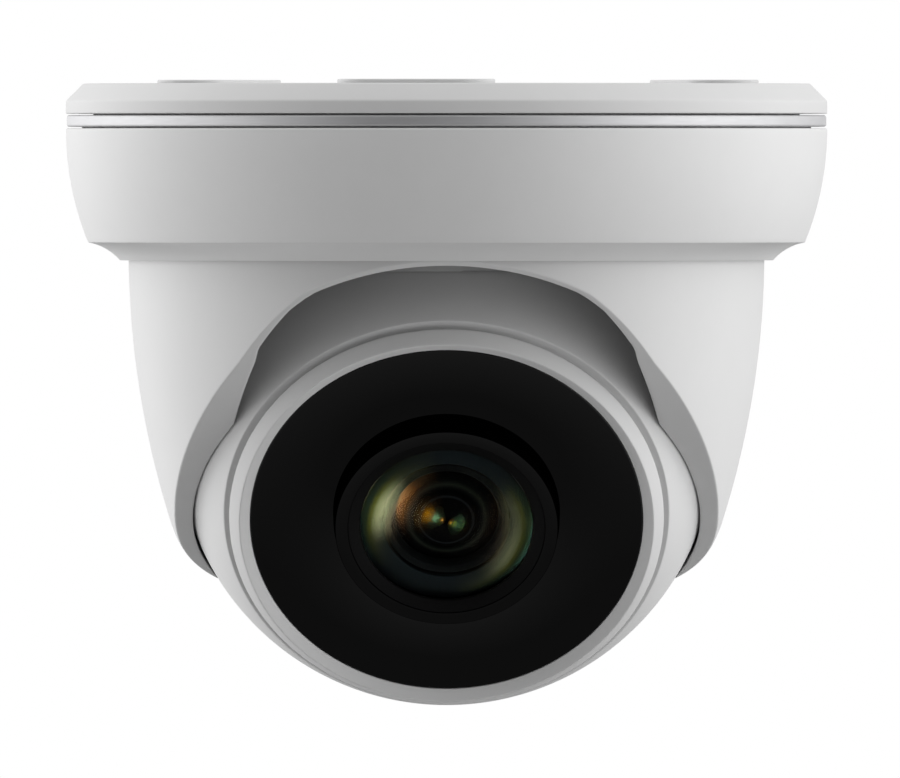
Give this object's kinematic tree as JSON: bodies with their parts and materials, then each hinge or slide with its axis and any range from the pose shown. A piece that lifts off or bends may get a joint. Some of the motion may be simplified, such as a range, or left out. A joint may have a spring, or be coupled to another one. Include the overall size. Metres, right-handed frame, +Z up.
{
  "type": "dome cctv camera",
  "caption": "Indoor ceiling dome camera: base, cover, panning hood, tilting ball and a camera head that turns about its lens axis.",
  "frame": {"origin": "centre of the ceiling plane, on the pan axis and at the middle of the ceiling screw circle", "axes": "+Z up into the ceiling along the pan axis, -Y the way the lens looks at rest, +X along the tilt axis"},
  "size_m": [0.094, 0.094, 0.0772],
  "materials": {
    "white_housing": "fine satin moulded ABS, slightly textured",
    "inner_plastic": "plain moulded plastic",
    "trim_metal": "thin bright strip, brushed along its length",
    "rubber_black": "soft rubber",
    "slip_ring": "grey nylon",
    "screw_steel": "zinc plated",
    "black_window": "infrared-passing acrylic, polished",
    "black_ring": "satin black, polished face",
    "black_plastic": "moulded black plastic",
    "lens_black": "black anodised",
    "lens_glass": "multi-coated optical glass",
    "filter_glass": "dichroic filter and clear pane in a carriage",
    "spring_steel": "tempered strip",
    "board": "green solder mask",
    "lamp_clear": "clear epoxy over a die",
    "ribbon": "flat flexible ribbon",
    "brass": "turned brass",
    "copper_coil": "enamelled copper winding",
    "chip_black": "moulded epoxy",
    "socket_white": "nylon connector",
    "sensor_die": "ceramic package under glass"
  },
  "bodies": {
    "base": {"base_plate": "white_housing", "cable_grommet": "rubber_black", "trim_ring": "trim_metal", "cover": "white_housing", "pan_friction_ring": "slip_ring", "pan_retainer": "inner_plastic"},
    "hood": {"hood": "white_housing", "turntable": "inner_plastic", "turntable_screws": "screw_steel", "pivot_screws": "screw_steel", "tilt_washers": "spring_steel"},
    "ball": {"front_shell": "white_housing", "rear_shell": "white_housing", "shell_screws": "screw_steel", "rear_grommet": "rubber_black"},
    "camera_head": {"bezel": "white_housing", "window_gasket": "rubber_black", "front_window": "black_window", "roll_clip": "spring_steel", "head_frame": "black_plastic", "frame_screws": "screw_steel", "led_board": "board", "led_board_screws": "screw_steel", "ir_leds": "lamp_clear", "light_sensor": "lamp_clear", "light_seal": "rubber_black", "led_ribbon": "ribbon", "lens_ring": "black_ring", "lens_barrel": "lens_black", "front_element": "lens_glass", "lens_spacer": "lens_black", "second_element": "lens_glass", "aperture_stop": "lens_black", "rear_element": "lens_glass", "lens_holder": "black_plastic", "filter_coil": "copper_coil", "image_sensor": "sensor_die", "sensor_board": "board", "board_spacers": "brass", "board_connector": "black_plastic", "main_board": "board", "main_board_screws": "screw_steel", "processor": "chip_black", "board_parts": "chip_black", "cable_socket": "socket_white"},
    "filter_slide": {"ir_filter": "filter_glass"}
  },
  "joints": [
    {"name": "pan", "type": "hinge", "parent": "base", "child": "hood", "pos_m": [0, 0, -0.044], "axis": [0, 0, 1], "range_deg": [-175, 175]},
    {"name": "tilt", "type": "hinge", "parent": "hood", "child": "ball", "pos_m": [0, 0, -0.044], "axis": [1, 0, 0], "range_deg": [-30, 45]},
    {"name": "roll", "type": "hinge", "parent": "ball", "child": "camera_head", "pos_m": [0, 0, -0.044], "axis": [0, -0.866, -0.5], "range_deg": [-175, 175]},
    {"name": "filter_shift", "type": "slide", "parent": "camera_head", "child": "filter_slide", "axis": [1, 0, 0], "range_m": [0, 0.0072]}
  ]
}
